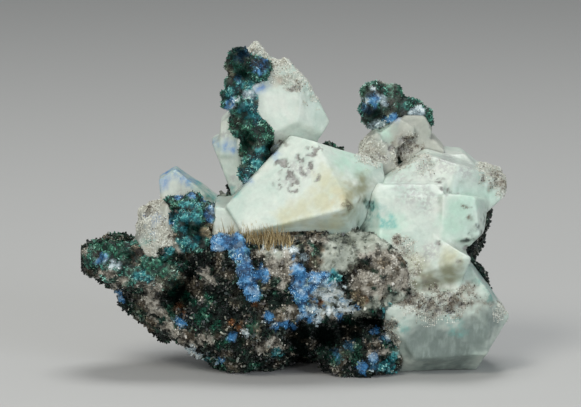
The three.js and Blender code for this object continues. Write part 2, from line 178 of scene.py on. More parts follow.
# Where each mineral shows on the display side: how ragged and how soft its edge is in mm, then round spots,
# marked in the photograph's pixels as distance from its left, distance from its top and radius.
# MINERAL_EDGE is the width of the ragged edges' bumps. Further back than DISPLAY_DEPTH the minerals lie in
# patches of noise, as PATCHES gives them: patch size, least noise, strength, and the share of it that shows
# on the display side too.
MINERAL_EDGE = 1.3
DISPLAY_DEPTH = 7.0
DISPLAY_FADE = 4.0
MINERALS = {
    "pale": (1.1, 0.5, [
        (308, 250, 5), (284, 237, 5), (294, 237, 5), (304, 239, 5), (314, 240, 5), (324, 241, 5),
        (165, 232, 8), (172, 240, 6), (178, 248, 4), (160, 241, 5), (225, 229, 5), (236, 230, 5),
        (205, 272, 5), (208, 280, 6), (103, 272, 4), (112, 275, 5), (122, 281, 4), (116, 286, 4),
        (140, 285, 4), (148, 285, 6), (156, 288, 6), (151, 293, 6), (145, 300, 6), (153, 306, 6),
        (160, 313, 6), (155, 319, 5), (168, 326, 6), (176, 332, 6), (184, 338, 5), (192, 343, 4),
        (201, 338, 5), (209, 341, 4), (247, 316, 3), (270, 342, 6), (278, 345, 5), (262, 350, 4),
        (262, 252, 6), (273, 253, 7), (285, 254, 7), (293, 263, 6), (275, 268, 9), (284, 276, 8),
        (277, 260, 6), (289, 270, 6), (283, 284, 6), (283, 317, 5), (291, 312, 5), (358, 283, 9),
        (366, 291, 9), (372, 280, 9), (362, 276, 6), (378, 262, 9), (388, 268, 10), (384, 255, 9),
        (372, 250, 8), (395, 260, 9), (364, 256, 6), (392, 280, 9), (382, 286, 8), (401, 285, 8),
        (378, 294, 7), (398, 272, 8), (404, 275, 8), (323, 313, 5), (334, 313, 5), (344, 309, 6),
        (377, 341, 4), (372, 352, 4), (384, 352, 5), (415, 122, 6), (425, 126, 4), (86, 252, 3),
    ]),
    "milky": (1.3, 1.2, [
        (336, 236, 7), (350, 233, 7), (364, 231, 7), (378, 229, 7), (391, 232, 6), (263, 109, 5),
        (259, 101, 5), (265, 98, 5), (260, 92, 3), (310, 310, 4), (345, 309, 5), (322, 310, 5),
        (330, 255, 11), (340, 262, 11), (328, 267, 9), (346, 250, 9), (336, 243, 7), (351, 258, 6),
        (322, 293, 8), (329, 301, 8), (334, 295, 8), (339, 303, 6), (376, 303, 6), (388, 301, 6),
        (398, 297, 6), (366, 308, 6), (357, 312, 5), (363, 242, 9), (376, 240, 9), (389, 240, 8),
        (268, 252, 5), (280, 252, 5), (398, 350, 4),
    ]),
    "brown": (1.5, 0.8, [
        (288, 232, 4), (298, 232, 4), (309, 233, 4), (319, 234, 4), (302, 244, 5), (301, 245, 6),
        (308, 253, 4), (314, 260, 6), (320, 250, 6), (312, 302, 6), (360, 297, 6), (280, 318, 4),
        (175, 235, 4), (181, 243, 4), (137, 250, 6), (134, 258, 6), (180, 309, 6), (190, 337, 5),
        (241, 326, 5), (255, 331, 4), (150, 325, 6), (140, 308, 6), (180, 279, 6), (368, 346, 4),
        (380, 346, 4), (372, 285, 5), (385, 262, 5), (395, 272, 5), (402, 262, 4), (366, 92, 6),
        (364, 104, 5), (372, 86, 5),
    ]),
    "rust": (0.8, 0.6, [
        (179, 308, 3), (183, 311, 2), (239, 326, 3), (255, 304, 2), (232, 322, 2), (320, 302, 3),
        (366, 300, 3), (356, 296, 2),
    ]),
    "tan": (1.2, 0.7, [
        (258, 233, 6), (266, 239, 6), (275, 239, 6), (252, 227, 4), (208, 232, 6), (214, 228, 6),
        (354, 297, 4), (362, 303, 4), (103, 237, 4), (157, 239, 3),
    ]),
    "green": (1.6, 0.8, [
        (118, 250, 8), (110, 246, 8), (126, 256, 6), (100, 245, 6), (163, 271, 6), (152, 268, 7),
        (158, 262, 6), (183, 265, 4), (168, 258, 4), (202, 317, 6), (197, 322, 4), (222, 341, 5),
        (210, 300, 5), (190, 300, 4), (215, 325, 5), (180, 204, 5), (172, 205, 5), (240, 68, 4),
        (255, 130, 11), (245, 150, 8), (235, 125, 6), (268, 135, 7), (232, 98, 4), (388, 86, 7),
        (394, 95, 5), (398, 106, 6), (410, 106, 6), (425, 108, 6), (429, 116, 5), (427, 124, 4),
    ]),
    "teal": (1.3, 0.7, [
        (246, 104, 4), (253, 99, 4), (259, 98, 4), (186, 206, 5), (194, 205, 5), (252, 105, 6),
        (258, 111, 4), (249, 112, 4), (262, 117, 3), (334, 277, 6), (328, 280, 4), (186, 243, 7),
        (196, 241, 5), (150, 238, 5), (140, 275, 5), (148, 280, 4), (170, 250, 5), (275, 353, 5),
        (388, 368, 7), (392, 360, 4), (398, 347, 4), (388, 311, 5), (208, 359, 3), (338, 356, 3),
        (240, 262, 4), (240, 86, 7), (250, 88, 6), (230, 95, 6), (245, 105, 6), (254, 112, 5),
        (258, 120, 4), (255, 160, 7), (248, 170, 6), (246, 177, 6), (258, 152, 5), (185, 215, 8),
        (195, 216, 7), (175, 220, 6), (180, 228, 5),
    ]),
    "blue": (0.9, 0.35, [
        (218, 245, 6), (222, 242, 4), (237, 238, 5), (239, 247, 7), (242, 256, 7), (245, 266, 6),
        (247, 275, 7), (251, 284, 7), (256, 290, 4), (258, 275, 5), (265, 277, 5), (262, 269, 4),
        (297, 268, 5), (313, 279, 6), (322, 280, 6), (310, 287, 4), (325, 275, 4), (296, 286, 6),
        (300, 293, 6), (304, 300, 4), (343, 300, 3), (324, 307, 2), (341, 316, 3), (303, 314, 4),
        (311, 318, 4), (357, 307, 2), (268, 318, 5), (274, 327, 4), (285, 324, 4), (292, 325, 3),
        (103, 258, 4), (99, 262, 3), (118, 293, 4), (121, 299, 3), (178, 319, 4), (184, 323, 3),
        (233, 336, 3), (363, 367, 5), (375, 357, 4), (220, 361, 3), (293, 256, 2), (374, 331, 3),
        (262, 66, 2), (266, 60, 2), (258, 72, 2), (228, 106, 4), (232, 101, 3), (225, 112, 3),
        (246, 181, 2), (211, 210, 4), (209, 217, 4), (178, 197, 3), (192, 198, 3), (204, 200, 3),
        (170, 225, 4), (163, 209, 3), (375, 101, 5), (394, 118, 5),
    ]),
    "slate": (1.0, 0.6, [
        (262, 66, 8), (256, 62, 6), (240, 56, 5), (246, 52, 4), (238, 80, 4), (366, 108, 5), (372, 98, 5),
        (385, 120, 5), (350, 345, 4), (372, 365, 4), (336, 352, 4), (392, 330, 4), (384, 338, 4),
    ]),
    "frost": (1.0, 0.4, [
        (264, 246, 4), (274, 246, 4), (284, 248, 4), (294, 251, 4), (303, 256, 3), (240, 250, 2),
        (246, 263, 2), (251, 277, 3), (256, 287, 2), (316, 279, 2), (301, 289, 2), (318, 292, 5),
        (330, 296, 6), (342, 303, 6), (350, 309, 4), (312, 308, 4), (335, 311, 4), (372, 88, 2),
        (380, 97, 3), (367, 100, 2), (384, 125, 3), (322, 294, 5), (333, 300, 5), (341, 307, 4),
        (318, 311, 3), (327, 313, 3), (263, 88, 3), (257, 91, 3), (250, 95, 3), (244, 98, 3), (238, 101, 3),
        (232, 105, 3), (226, 110, 3), (221, 113, 2), (212, 207, 2), (214, 214, 2), (213, 201, 2),
        (332, 287, 5), (340, 290, 4), (347, 303, 4), (190, 350, 5), (198, 355, 4), (388, 334, 5),
        (395, 329, 4), (318, 320, 4), (247, 334, 4), (115, 265, 5), (412, 113, 6), (420, 112, 5),
        (384, 103, 5), (378, 125, 5), (371, 128, 4), (240, 96, 3), (246, 93, 2),
    ]),
    # Not a mineral: painted shade in the vug, the recess under the right ledge and small hollows, and some
    # dark patches.
    "deep": (1.0, 1.6, [
        (181, 293, 14), (190, 275, 6), (300, 335, 13), (325, 336, 13), (350, 330, 13), (371, 322, 9),
        (300, 350, 10), (385, 292, 2), (386, 298, 2), (396, 295, 2), (371, 305, 2), (319, 246, 3),
        (304, 257, 3), (338, 236, 3), (291, 233, 3), (411, 293, 2), (350, 241, 4), (303, 277, 4),
        (241, 345, 3), (240, 55, 7), (242, 72, 7), (248, 140, 7), (245, 113, 4), (270, 147, 5),
        (266, 158, 4), (195, 230, 7), (188, 226, 5), (200, 238, 5), (132, 255, 5), (378, 115, 6),
        (386, 106, 4), (368, 112, 4),
    ]),
}
PATCHES = {
    "pale": (7.0, 0.10, 2.6, 0.0), "brown": (4.0, 0.14, 2.2, 0.7), "green": (3.6, 0.14, 2.2, 0.7),
    "teal": (5.5, 0.34, 2.0, 0.0), "blue": (4.5, 0.36, 3.0, 0.0), "milky": (8.0, 0.34, 2.0, 0.0),
}


def waves(points, size, octaves=1, shift=0.0):
    """Smooth noise from about -1 to 1 at each point, with bumps that many mm across."""
    return np.array([
        noise.fractal((x + shift, y - shift, z + shift), 1.0, 2.0, octaves) for x, y, z in points / size
    ])


def seen(points):
    """How many mm points lie right of and above the middle of the view, looked at from the display side."""
    away = points - np.array(VIEW_CENTRE) / MM
    distance = VIEW_DISTANCE / MM
    nearer = distance / (distance - away @ np.array(back))
    above = away[:, 1] * math.sin(VIEW_HEIGHT) + away[:, 2] * math.cos(VIEW_HEIGHT)
    return away[:, 0] * nearer, above * nearer


def marked(points, chart, size):
    """For each label of a chart, how far each point lies inside its spots, 0 to 1, with ragged edges."""
    right, above = seen(points)
    edge = waves(points, size, octaves=3, shift=31.0)
    found = {}
    for label, (ragged, soft, spots) in chart.items():
        inside = np.full(len(points), FAR_OUTSIDE)
        for x, y, radius in spots:
            across = right - (x - PHOTO_MIDDLE[0]) / PIXELS_PER_MM
            up = above - (PHOTO_MIDDLE[1] - y) / PIXELS_PER_MM
            inside = np.maximum(inside, radius / PIXELS_PER_MM - np.hypot(across, up))
        found[label] = np.clip((inside + ragged * edge) / soft + 0.5, 0, 1)
    return found


def rosettes(points, size):
    """Curled rosettes that many mm across: 1 on the ring of each, 0 at its middle and in the gaps between."""
    rings = [abs(noise.voronoi((x, y, z))[0][0] - ROSETTE_RING) for x, y, z in points / size]
    return np.clip(1 - ROSETTE_CONTRAST * np.array(rings), 0, 1)


def minerals_at(points):
    """How much of each mineral, and of the painted shade and dark patches, shows at each point of the rock or
    its crusts, 0 to 1.
    """
    found = marked(points, MINERALS, MINERAL_EDGE)
    display = np.clip((DISPLAY_DEPTH - points[:, 1]) / DISPLAY_FADE, 0, 1)
    bare = (1 - found["pale"]) * (1 - found["milky"])
    for label, (size, least, strength, share) in PATCHES.items():
        patch = np.clip((waves(points, size, octaves=2, shift=size * 7) - least) * strength, 0, 1)
        found[label] = display * np.maximum(found[label], share * patch * bare) + (1 - display) * patch
    found["deep"] *= display
    # The blue bands are bleached to a pale bloom in places.
    bloom = BLOOM * np.clip(2.2 * waves(points, BLOOM_SIZE, octaves=3, shift=77.0) + 0.1, 0, 1)
    found["frost"] = np.maximum(found["frost"], found["blue"] * bloom)
    found["blue"] *= 1 - bloom
    return found


def fine_copy(name, cad_node, voxel, smoothing=1, filled=0.0):
    """A CAD node's solid as a mesh of small even faces, its corners a little worn, its clefts filled in."""
    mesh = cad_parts[cad_node].data.copy()
    mesh.materials.clear()
    bm = bmesh.new()
    bm.from_mesh(mesh)
    bmesh.ops.remove_doubles(bm, verts=bm.verts, dist=0.002 * MM)
    bm.to_mesh(mesh)
    bm.free()
    piece = new_object(name, mesh)
    even = piece.modifiers.new("even", "REMESH")
    even.mode = "VOXEL"
    even.voxel_size = voxel * MM
    if filled:
        swollen = piece.modifiers.new("swollen", "DISPLACE")
        swollen.strength = filled * MM
        swollen.mid_level = 0
        merged = piece.modifiers.new("merged", "REMESH")
        merged.mode = "VOXEL"
        merged.voxel_size = voxel * MM
        shrunk = piece.modifiers.new("shrunk", "DISPLACE")
        shrunk.strength = -filled * MM
        shrunk.mid_level = 0
    worn = piece.modifiers.new("worn", "SMOOTH")
    worn.factor = 0.5
    worn.iterations = smoothing
    graph = bpy.context.evaluated_depsgraph_get()
    piece.data = bpy.data.meshes.new_from_object(piece.evaluated_get(graph))
    piece.data.name = name
    piece.modifiers.clear()
    piece.data.shade_smooth()
    return piece


def points_of(piece):
    """A piece's points and their outward directions, in mm."""
    mesh = piece.data
    places = np.zeros(len(mesh.vertices) * 3)
    mesh.vertices.foreach_get("co", places)
    facing = np.zeros(len(mesh.vertices) * 3)
    mesh.vertex_normals.foreach_get("vector", facing)
    return places.reshape(-1, 3) / MM, facing.reshape(-1, 3)


def closeness(points, cad_node):
    """How near each point is to any other solid of the specimen: 1 where they meet, 0 at CONTACT_REACH."""
    corners, faces = [], []
    for other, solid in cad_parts.items():
        if other != cad_node:
            faces += [tuple(i + len(corners) for i in face.vertices) for face in solid.data.polygons]
            corners += [v.co / MM for v in solid.data.vertices]
    others = BVHTree.FromPolygons(corners, faces)
    away = np.array([others.find_nearest(Vector(p))[3] for p in points])
    return np.clip((CONTACT_REACH - away) / CONTACT_FADE, 0, 1)


def settle(piece, points):
    """Puts a piece's points, in mm, where they are given, but never outside the box of the part."""
    inside = np.clip(points * MM, np.array(cad_low), np.array(cad_high))
    piece.data.vertices.foreach_set("co", inside.ravel())
    piece.data.update()


def note(piece, name, values):
    """Keeps one number a point on a piece, for its material."""
    kept = piece.data.attributes.new(name, "FLOAT", "POINT")
    kept.data.foreach_set("value", np.asarray(values, np.float32))


rock = fine_copy("vein_rock", "rock_matrix", ROCK_VOXEL)
points, facing = points_of(rock)
height = sum(depth * waves(points, size, octaves=2, shift=size) for size, depth in ROCK_LUMPS)
pit_size, pit_depth = ROCK_PITS
height -= pit_depth * np.clip(waves(points, pit_size, octaves=2, shift=50.0) - 0.18, 0, 0.7)
near = closeness(points, "rock_matrix")
minerals = minerals_at(points)
# The milky parts are smoother than the rest.
lift = (height * (1 - 0.5 * minerals["milky"])) * (1 - near) + CONTACT_SWELL * near
settle(rock, points + facing * lift[:, None])
# Painted shade: the gaps and pits between the lumps are darker than the lumps, and finer noise breaks that
# up.
shade = 0.30 + 0.22 * np.clip(height, -1.2, 1.2) + 0.25 * waves(points, 0.9, octaves=2, shift=5.0)
# Milky parts are paler, and the frost is painted brighter: painted light that lifts it out of the shade it
# faces into.
shade += 0.25 * minerals["milky"] + 0.25 * minerals["frost"]
# Painted shade darkens the vug, the recess and small hollows, along with some dark patches.
shade *= 1 - HOLLOW_DARKNESS * minerals["deep"]
note(rock, "shade", np.clip(shade, 0, 1))
for label, values in minerals.items():
    note(rock, label, values)

# Each mineral's grains run from their shaded colour to their brightest.
DARK_RAMP = [
    (0.0, "#030605"), (0.3, "#0c1411"), (0.52, "#1a2c24"),
    (0.7, "#37463c"), (0.85, "#6f7165"), (1.0, "#b4b6aa"),
]
CRUST_RAMP = [(0.0, "#04110e"), (0.3, "#102e27"), (0.55, "#296154"), (0.78, "#569b8c"), (1.0, "#a9d8cb")]
MINERAL_RAMPS = {
    "pale": [(0.0, "#57534a"), (0.25, "#8d897e"), (0.6, "#b6b3a8"), (1.0, "#e2e1d9")],
    "milky": [(0.0, "#757b6f"), (0.5, "#9da397"), (1.0, "#ccd1c5")],
    "brown": [(0.0, "#1d1914"), (0.35, "#4c4538"), (0.65, "#857b6a"), (1.0, "#bcb29c")],
    "rust": [(0.0, "#2a170b"), (0.4, "#6b4122"), (0.7, "#a3703f"), (1.0, "#d5ae80")],
    "tan": [(0.0, "#4a4434"), (0.45, "#8b8168"), (0.75, "#b3aa8e"), (1.0, "#d9d3bf")],
    "green": [(0.0, "#03150f"), (0.35, "#11392c"), (0.65, "#2f6f57"), (1.0, "#86c4a6")],
    "teal": [(0.0, "#08282d"), (0.3, "#1f5f66"), (0.6, "#4d9f9f"), (1.0, "#b9e2d9")],
    "slate": [(0.0, "#0a1720"), (0.35, "#1c3d50"), (0.65, "#3f7490"), (1.0, "#93bccd")],
    "frost": [(0.0, "#66767c"), (0.3, "#a5b6bb"), (0.65, "#ced9da"), (1.0, "#f0f3f0")],
    "blue": [(0.0, "#17395a"), (0.35, "#3b76a5"), (0.7, "#79afd3"), (1.0, "#daeaee")],
}


def ramp(tree, stops, fac):
    """A ramp through the given places and colours."""
    made = node(tree, "ValToRGB", links={"Fac": fac})
    for i, (place, code) in enumerate(stops):
        stop = made.color_ramp.elements[i] if i < 2 else made.color_ramp.elements.new(place)
        stop.position = place
        stop.color = linear(code)
    return made.outputs["Color"]


def mineral_mix(name, own_ramp, roughness, glint):
    """Grains of several minerals: a dark to light ramp by grain, over-painted where other minerals lie."""
    made, tree = new_material(name)
    shade = node(tree, "Attribute", {"attribute_name": "shade"})
    where = node(tree, "TexCoord").outputs["Object"]
    # A grain is 0.3 to 0.6 mm across, so the finest change of colour is set to that.
    speckle = node(tree, "TexNoise", {"Scale": 1 / (0.45 * MM), "Detail": 3.0}, {"Vector": where})
    mixed = node(tree, "Math", {"operation": "MULTIPLY_ADD", 1: 0.6, 2: -0.3}, {0: speckle.outputs["Fac"]})
    tone = node(tree, "Math", {"operation": "ADD", "use_clamp": True},
                {0: shade.outputs["Fac"], 1: mixed.outputs[0]})
    colour = ramp(tree, own_ramp, tone.outputs[0])
    for label, stops in MINERAL_RAMPS.items():
        mask = node(tree, "Attribute", {"attribute_name": label})
        over = node(tree, "Mix", {"data_type": "RGBA"},
                    {"Factor": mask.outputs["Fac"], 6: colour, 7: ramp(tree, stops, tone.outputs[0])})
        colour = over.outputs[2]
    bumps = node(tree, "Bump", {"Strength": 0.6, "Distance": 0.15 * MM}, {"Height": speckle.outputs["Fac"]})
    # Where the painted shade and dark patches lie, the shine is turned down too, so nothing glints in the
    # depths of the hollows.
    deep = node(tree, "Attribute", {"attribute_name": "deep"})
    shine = node(tree, "Math", {"operation": "MULTIPLY_ADD", 1: -glint, 2: glint}, {0: deep.outputs["Fac"]})
    surface = node(tree, "BsdfPrincipled", {"Roughness": roughness, "IOR": 1.6},
                   {"Base Color": colour, "Normal": bumps.outputs["Normal"],
                    "Specular IOR Level": shine.outputs[0]})
    node(tree, "OutputMaterial", links={"Surface": surface.outputs["BSDF"]})
    return made


# Iron-stained quartz and clay, broken and weathered: dull, with no polish anywhere.
rock.data.materials.append(mineral_mix("weathered_vein_rock", DARK_RAMP, 0.85, 0.15))
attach(rock, "root")
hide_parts("rock_matrix")


# Druse on the rock
# Small stubby dark crystals over the front and back, sugary pale and brown grains along the broken edges,
# and fine blue blades in the bands. All of them grow outward from the skin and lean at random.
draw = np.random.default_rng(4)
# No grains grow below GRAINS_START, on the ground feet. Behind FRONT_EDGE all the dark druse is the back's,
# and over FRONT_FADE in front of it the front's takes over. CLUMP_SIZE is how wide its paler clumps are.
GRAINS_START = 0.5
FRONT_EDGE = 2.0
FRONT_FADE = 4.0
CLUMP_SIZE = 3.2


def grain(sides=0, tip=0.5):
    """One small crystal as points and triangles: a tapered prism a unit long, or a double pyramid for 0."""
    bm = bmesh.new()
    if sides == 0:
        bmesh.ops.create_uvsphere(bm, u_segments=4, v_segments=2, radius=0.5)
    else:
        bmesh.ops.create_cone(bm, cap_ends=True, segments=sides, radius1=0.5, radius2=0.5 * tip, depth=1.0)
        bmesh.ops.translate(bm, verts=bm.verts, vec=(0, 0, 0.25))
    bmesh.ops.triangulate(bm, faces=bm.faces)
    corners = np.array([v.co for v in bm.verts])
    faces = np.array([[v.index for v in f.verts] for f in bm.faces])
    bm.free()
    return corners, faces


def strew(name, shape, places, facing, width, length, lean, notes):
    """One mesh of many grains. Each stands on its place along its facing, leaned and turned at random."""
    corners, faces = shape
    count = len(places)
    upright = facing + lean * draw.normal(size=(count, 3))
    upright /= np.linalg.norm(upright, axis=1)[:, None]
    across = np.cross(upright, draw.normal(size=(count, 3)))
    across /= np.linalg.norm(across, axis=1)[:, None]
    third = np.cross(upright, across)
    # Most grains are small and a few are large.
    size = draw.beta(1.4, 2.6, count)
    wide = width[0] + (width[1] - width[0]) * size
    thick = wide * draw.uniform(0.55, 1.0, count)
    long = length[0] + (length[1] - length[0]) * np.clip(size + draw.uniform(-0.2, 0.2, count), 0, 1)
    laid = (
        places[:, None, :]
        + corners[None, :, 0:1] * (across * wide[:, None])[:, None, :]
        + corners[None, :, 1:2] * (third * thick[:, None])[:, None, :]
        + corners[None, :, 2:3] * (upright * long[:, None])[:, None, :]
    )
    laid = np.clip(laid * MM, np.array(cad_low), np.array(cad_high)).reshape(-1, 3)
    joined = (faces[None] + (np.arange(count) * len(corners))[:, None, None]).reshape(-1, 3)
    mesh = bpy.data.meshes.new(name)
    mesh.from_pydata(laid.tolist(), [], joined.tolist())
    piece = new_object(name, mesh)
    for label, values in notes.items():
        note(piece, label, np.repeat(values, len(corners)))
    return piece


def faces_of(piece):
    """The middles and directions of a piece's faces, in mm, and their areas in square mm."""
    mesh = piece.data
    middles, facing = np.zeros(len(mesh.polygons) * 3), np.zeros(len(mesh.polygons) * 3)
    area = np.zeros(len(mesh.polygons))
    mesh.polygons.foreach_get("center", middles)
    mesh.polygons.foreach_get("normal", facing)
    mesh.polygons.foreach_get("area", area)
    return middles.reshape(-1, 3) / MM, facing.reshape(-1, 3), area / MM**2


def pick(wanted, chance):
    """Draws that many different faces by their chance."""
    wanted = min(wanted, int(np.count_nonzero(chance) * 0.9))
    return draw.choice(len(chance), size=wanted, replace=False, p=chance / chance.sum())


middles, facing, area = faces_of(rock)
minerals = minerals_at(middles)
clumps = waves(middles, CLUMP_SIZE, octaves=2, shift=12.0)
lump_size = ROCK_LUMPS[1][0]
lumps = waves(middles, lump_size, octaves=2, shift=lump_size)
curls = rosettes(middles, ROCK_ROSETTE)
front = np.clip((FRONT_EDGE - middles[:, 1]) / FRONT_FADE, 0, 1)
clear = area * (middles[:, 2] > GRAINS_START) * (1 - 0.9 * minerals["milky"])
sugary = np.maximum(np.maximum(minerals["pale"], minerals["brown"]), minerals["tan"])
azure = np.maximum(minerals["blue"], 0.7 * minerals["frost"])
dark = clear * (1 - 0.9 * sugary) * (1 - azure)
edges = clear * sugary * (1 - azure)
# Tiny crystal faces glint where the broken rock between them is dull.
dark_druse = mineral_mix("dark_copper_druse", DARK_RAMP, 0.32, 0.35)
sugar = mineral_mix("sugary_vein_grains", MINERAL_RAMPS["pale"], 0.55, 0.3)
blades = mineral_mix("azure_blades", MINERAL_RAMPS["blue"], 0.45, 0.3)
stubby, sharp, blunt = grain(3, 0.6), grain(3, 0.5), grain()
# For each: shape, how many, chance, width and length in mm, lean, finish and slot.
DRUSES = {
    "front_dark_druse": (stubby, 15000, dark * front, (0.25, 1.0), (0.3, 1.1), 0.9, dark_druse, "rock"),
    "back_dark_druse": (stubby, 8000, dark * (1 - front), (0.3, 1.2), (0.3, 1.1), 0.9, dark_druse, "rock"),
    "sugary_edge_grains": (blunt, 9500, edges, (0.3, 1.1), (0.3, 1.0), 1.2, sugar, "rock"),
    "blue_band_blades": (sharp, 5200, clear * azure, (0.15, 0.55), (0.25, 0.75), 0.9, blades, "blue_crust"),
}
for name, (shape, wanted, chance, width, length, lean, finish, slot) in DRUSES.items():
    picked = pick(wanted, chance)
    notes = {label: values[picked] for label, values in minerals.items()}
    # Grains on the lumps are painted paler than those in the gaps, which is painted shade, and the painted
    # shade and dark patches darken some.
    tone = draw.beta(1.3, 2.8, len(picked)) + 0.18 * clumps[picked] + 0.14 * lumps[picked]
    # The frost grains are painted brighter, painted light that lifts them out of the shade they face into.
    tone += 0.32 * (curls[picked] - 0.4) + 0.25 * minerals["frost"][picked]
    notes["shade"] = np.clip(tone * (1 - HOLLOW_DARKNESS * minerals["deep"][picked]), 0, 1)
    grains = strew(name, shape, middles[picked], facing[picked], width, length, lean, notes)
    grains.data.materials.append(finish)
    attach(grains, "root")


# Tan fibres
# A tuft of fine tan bristles in the crevice under the large crystal. It grows up and outward from the rock's
# edge, no further back than FIBRE_EDGE. Its roots are marked like the minerals' spots.
FIBRE_ROOTS = [
    (222, 236, 4), (232, 237, 3), (244, 239, 5), (252, 239, 8), (260, 240, 8), (268, 242, 8), (277, 243, 6),
    (286, 243, 4),
]
FIBRE_EDGE = -13.6
FIBRE_ROOTS_USED = 330
FIBRES_PER_ROOT = 2
FIBRE_DIRECTION = (0, -0.5, 1.0)
FIBRE_WIDTH = (0.16, 0.34)
FIBRE_LENGTH = (1.2, 5.4)
FIBRE_LEAN = 0.24
FIBRE_RAMP = [(0.0, "#4e4129"), (0.4, "#8f7c53"), (0.75, "#b8a67b"), (1.0, "#ddd1ae")]
rooted = marked(middles, {"root": (0.8, 0.6, FIBRE_ROOTS)}, MINERAL_EDGE)["root"]
chance = area * rooted * (middles[:, 1] < FIBRE_EDGE)
picked = np.repeat(pick(FIBRE_ROOTS_USED, chance), FIBRES_PER_ROOT)
upward = facing[picked] * 0.3 + np.array(FIBRE_DIRECTION)
fibres = strew("tan_fibres", grain(3, 0.15), middles[picked], upward, FIBRE_WIDTH, FIBRE_LENGTH, FIBRE_LEAN,
               {"shade": draw.uniform(0.25, 1.0, len(picked))})
# Iron-stained silky fibres, dry and dull gold.
fibres.data.materials.append(mineral_mix("tan_iron_fibres", FIBRE_RAMP, 0.6, 0.3))
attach(fibres, "root")


# Crystals
# Milky, waxy anglesite in thick blunt blades: the large one in the middle, the tower behind it, the mass at
# the right and the small ones at the left and on the spire. Their faces step slightly, are worn at the
# corners, and are eaten into small grey pits in places.
# How far the faces stand out of the solids, and how far where they meet other solids.
CRYSTAL_SWELL = 0.05
CRYSTAL_CONTACT = 0.26
# How wide the faces' bends and steps are, how far the rough parts are etched in, and the pits' width and
# depth.
BEND_SIZE = 7.0
STEP_SIZE = 5.0
ETCH_DEPTH = 0.6
PIT_SIZE = 1.1
PIT_DEPTH = 0.5
# For each solid: face size, how far its clefts are filled, bend, step and grain depth in mm, and the slot.
CRYSTALS = {
    "centre_crystal": (0.30, 0.0, 0.12, 0.00, 0.02, "anglesite"),
    "tower_crystals": (0.32, 0.4, 0.24, 0.02, 0.03, "anglesite"),
    "back_left_crystal": (0.32, 0.0, 0.20, 0.02, 0.03, "anglesite"),
    "right_crystals": (0.36, 0.3, 0.30, 0.05, 0.05, "anglesite"),
    "shoulder_crystals": (0.32, 0.5, 0.40, 0.08, 0.08, "etched_anglesite"),
    "spire_crystals": (0.30, 0.3, 0.35, 0.08, 0.08, "etched_anglesite"),
}
